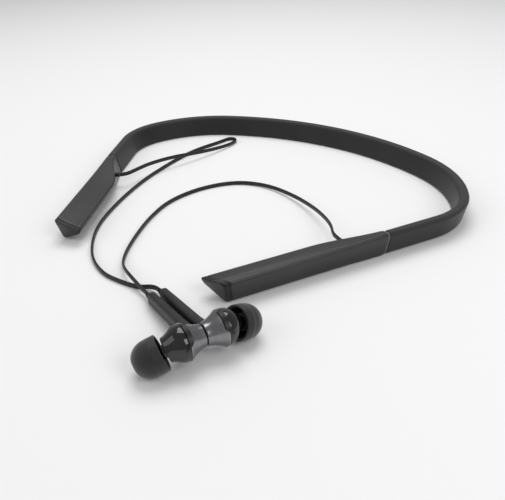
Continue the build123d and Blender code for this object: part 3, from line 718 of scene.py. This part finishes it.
# ridges laid across an arc: the number and the bar's sizes are named inputs
def knurlTree():
    tree = bpy.data.node_groups.new("ribKnurl", "GeometryNodeTree")
    face = tree.interface
    face.new_socket("Arc", in_out="INPUT", socket_type="NodeSocketGeometry")
    face.new_socket("Ridges", in_out="INPUT", socket_type="NodeSocketInt")
    for name in ("Ridge Width", "Ridge Length", "Ridge Height"):
        face.new_socket(name, in_out="INPUT", socket_type="NodeSocketFloat")
    face.new_socket("Finish", in_out="INPUT", socket_type="NodeSocketMaterial")
    face.new_socket("Knurl", in_out="OUTPUT", socket_type="NodeSocketGeometry")
    given = addNode(tree, "NodeGroupInput").outputs
    arc = addNode(tree, "GeometryNodeMeshToCurve", {"Mesh": given["Arc"]})
    places = addNode(tree, "GeometryNodeCurveToPoints", {
        "Curve": arc.outputs["Curve"], "Count": given["Ridges"]}, mode="COUNT")
    size = addNode(tree, "ShaderNodeCombineXYZ", {
        "X": given["Ridge Length"], "Y": given["Ridge Height"], "Z": given["Ridge Width"]})
    bar = addNode(tree, "GeometryNodeMeshCube", {"Size": size.outputs["Vector"]})
    laid = addNode(tree, "GeometryNodeInstanceOnPoints", {
        "Points": places.outputs["Points"], "Instance": bar.outputs["Mesh"],
        "Rotation": places.outputs["Rotation"]})
    real = addNode(tree, "GeometryNodeRealizeInstances", {"Geometry": laid.outputs["Instances"]})
    done = addNode(tree, "GeometryNodeSetMaterial", {
        "Geometry": real.outputs["Geometry"], "Material": given["Finish"]})
    addNode(tree, "NodeGroupOutput", {"Knurl": done.outputs["Geometry"]})
    return tree


def makeRib(side, tree):
    place = budSide(side)
    rings, steps = [], 40
    for i in range(steps + 1):
        a = math.radians(rib["fromDeg"] + (rib["toDeg"] - rib["fromDeg"]) * i / steps)
        edge = 1 - 0.35 * (1 - smooth(min(i, steps - i) / 3))
        tail = smooth((i / steps - rib["tailFrom"]) / (1 - rib["tailFrom"]))
        middle, half = seamAt - 0.2 + rib["tailShift"] * tail, rib["halfWidth"] * (1 - 0.35 * tail)
        high = rib["outer"] * edge + rib["inner"] * (1 - edge)
        outline = roundedOutline(
            [(middle - half, rib["inner"]), (middle + half, rib["inner"]),
             (middle + half, high), (middle - half, high)], [0.12, 0.12, 0.3, 0.3], 4)
        rings.append([(p[0], p[1] * math.sin(a), p[1] * math.cos(a)) for p in outline])
    body = ringsPiece(side + "LockRib", rings, place, False, "knurledNitrile")
    attach(body, side, "rib_rubber", side + "_lock_rib")
    line = bpy.data.meshes.new(side + "RibArc")
    rows = []
    knurlSweep = (rib["toDeg"] - rib["fromDeg"]) * (rib["tailFrom"] - 0.04)
    for i in range(steps + 1):
        a = math.radians(rib["fromDeg"] + rib["knurlInDeg"] + knurlSweep * i / steps)
        p = place @ np.array([seamAt - 0.2, rib["outer"] * math.sin(a), rib["outer"] * math.cos(a), 1])
        rows.append(tuple(p[:3] * mm))
    line.from_pydata(rows, [(i, i + 1) for i in range(steps)], [])
    knurl = grow(side + "RibKnurl", line, tree, {
        "Ridges": rib["ridges"], "Ridge Width": rib["ridgeMm"] * mm, "Ridge Length": 1.9 * rib["halfWidth"] * mm,
        "Ridge Height": rib["ridgeHigh"] * 2 * mm, "Finish": finishes["knurledNitrile"]})
    attach(knurl, side, "rib_rubber")


ribTree = knurlTree()
for side in ("right", "left"):
    makeShells(side)
    makeEarTip(side)
    makeStem(side)
    makeRib(side, ribTree)
print("stage: earbuds built")


# cords
cordRoutes = dict(
    right=[
        (63.12, -3.64, 6.4), (59.6, -2.0, 6.5), (56.8, 0.7, 6.3), (53.4, 5.9, 6.0), (47.0, 12.5, 5.1),
        (36.0, 21.2, 3.6), (20.0, 29.6, 2.2), (2.0, 34.4, 1.3), (-14.0, 30.4, 1.0), (-25.0, 15.5, 1.0),
        (-29.2, -4.5, 1.0), (-25.0, -23.0, 1.0), (-17.8, -40.0, 1.0), (-11.6, -51.7, 1.0), (-6.2, -58.7, 1.2),
        (0.6, -63.5, 3.2), (7.5, -67.0, 4.4)],
    left=[
        (-63.12, -3.64, 6.4), (-60.4, -1.9, 6.6), (-60.6, 6.5, 6.4), (-60.8, 16.0, 6.1), (-57.3, 30.0, 5.6),
        (-52.8, 44.0, 4.0), (-50.3, 57.5, 2.4), (-48.5, 70.0, 1.4), (-49.6, 78.8, 1.1), (-55.5, 79.5, 1.1),
        (-56.8, 70.5, 1.0), (-60.3, 57.0, 1.0), (-61.4, 42.0, 1.0), (-59.8, 25.5, 1.0), (-57.2, 7.5, 1.0),
        (-52.3, -10.5, 1.0), (-46.5, -26.5, 1.0), (-40.0, -40.5, 1.0), (-31.0, -52.5, 1.0), (-20.0, -62.5, 1.0),
        (-8.0, -67.9, 1.0), (1.0, -68.3, 1.0), (11.0, -67.4, 1.0)])
cordSize = dict(wide=2.0, thin=1.05, leadMm=4.5, gapMm=0.3, lengths=dict(right=0.216, left=0.285))


def splineLine(name, points):
    curve = bpy.data.curves.new(name, "CURVE")
    curve.dimensions = "3D"
    curve.resolution_u = 14
    spline = curve.splines.new("NURBS")
    spline.points.add(len(points) - 1)
    for target, p in zip(spline.points, points):
        target.co = (p[0] * mm, p[1] * mm, p[2] * mm, 1)
    spline.order_u = 3
    spline.use_endpoint_u = True
    carrier = bpy.data.objects.new(name, curve)
    bpy.context.collection.objects.link(carrier)
    ready = carrier.evaluated_get(bpy.context.evaluated_depsgraph_get())
    mesh = bpy.data.meshes.new_from_object(ready)
    path = [np.array(v.co) / mm for v in mesh.vertices]
    bpy.data.objects.remove(carrier)
    bpy.data.meshes.remove(mesh)
    return path


def makeCord(side):
    ends = []
    for reach in (cordSize["leadMm"], cordSize["gapMm"]):
        p = stemPlace(side, stem["length"] + 3.0 + reach)[:3, 3]
        ends.append(tuple(p))
    path = splineLine(side + "CordLine", cordRoutes[side] + ends)
    rings, uv, run, size = [], [], 0.0, 16
    for i, p in enumerate(path):
        along = path[min(i + 1, len(path) - 1)] - path[max(i - 1, 0)]
        along = along / np.linalg.norm(along)
        across = np.cross(along, (0, 0, 1))
        across = across / np.linalg.norm(across)
        upright = np.cross(across, along)
        if i:
            run += np.linalg.norm(p - path[i - 1])
        for k in range(size):
            a = 2 * math.pi * k / size
            c, s = math.cos(a), math.sin(a)
            x = math.copysign(abs(c) ** 0.8, c) * cordSize["thin"] / 2
            y = math.copysign(abs(s) ** 0.7, s) * cordSize["wide"] / 2
            rings.append(tuple(p + across * x + upright * y))
            uv.append((k / size, run / 10))
    faces = loftFaces(len(path), size)
    piece = makePiece(side + "Cord", rings, faces, np.eye(4), False, "elastomerJacket", uv, 60)
    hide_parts(side + "_cord")
    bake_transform(piece)


for side in ("right", "left"):
    makeCord(side)
print("stage: cords laid")


# carried-over parts
nodeFinish = dict(
    core_wire="drawnStainless", harness="braidedSleeve", collar="greyPolycarbonate", pod_base="softPaintedAbs",
    cord_gland="knurledNitrile", magnet="nickelPlate", driver="nickelPlate", nozzle_mesh="drawnStainless",
    main_board="solderMask", protection_board="solderMask", radio_shield="tinnedSteel", microphone="tinnedSteel",
    tact_switches="switchPhenolic", power_switch="switchPhenolic", light_pipe="castAcrylic",
    charging_port="drawnStainless", battery_cell="shrinkSleeve", button="knurledNitrile")
for name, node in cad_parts.items():
    for ending, finish in nodeFinish.items():
        if name.endswith(ending):
            node.data.materials.clear()
            node.data.materials.append(finishes[finish])
print("stage: carried-over parts given their finishes")


# floor and light
studio = dict(floorColour="#f6f6f6", floorSize=3.0, sky=0.42)


def makeStudio():
    half = studio["floorSize"] / 2
    mesh = bpy.data.meshes.new("floor")
    mesh.from_pydata([(-half, -half, 0), (half, -half, 0), (half, half, 0), (-half, half, 0)], [], [(0, 1, 2, 3)])
    floor = bpy.data.objects.new("floor", mesh)
    bpy.context.collection.objects.link(floor)
    material, _, shader = newMaterial("paintedFloor")
    shader.inputs["Base Color"].default_value = linear(studio["floorColour"])
    shader.inputs["Roughness"].default_value = 0.9
    shader.inputs["Specular IOR Level"].default_value = 0.1
    mesh.materials.append(material)
    world = bpy.data.worlds.new("studio")
    world.use_nodes = True
    world.node_tree.nodes["Background"].inputs["Color"].default_value = linear("#ffffff")
    world.node_tree.nodes["Background"].inputs["Strength"].default_value = studio["sky"]
    bpy.context.scene.world = world
    lamps = (
        ("keySoftbox", (-0.15, 0.25, 0.75), (0.02, -0.02, 0), 0.55, 3.2),
        ("rightStrip", (0.6, -0.1, 0.45), (0, 0, 0), 0.35, 1.3),
        ("frontFill", (-0.35, -0.6, 0.5), (0.02, -0.05, 0), 0.5, 0.9))
    for name, place, aim, size, power in lamps:
        data = bpy.data.lights.new(name, "AREA")
        data.shape = "SQUARE"
        data.size = size
        data.energy = power
        lamp = bpy.data.objects.new(name, data)
        lamp.location = place
        lamp.rotation_euler = (Vector(aim) - Vector(place)).to_track_quat("-Z", "Y").to_euler()
        bpy.context.collection.objects.link(lamp)


makeStudio()
bpy.context.scene.view_settings.view_transform = "Standard"
print("stage: floor and light set")
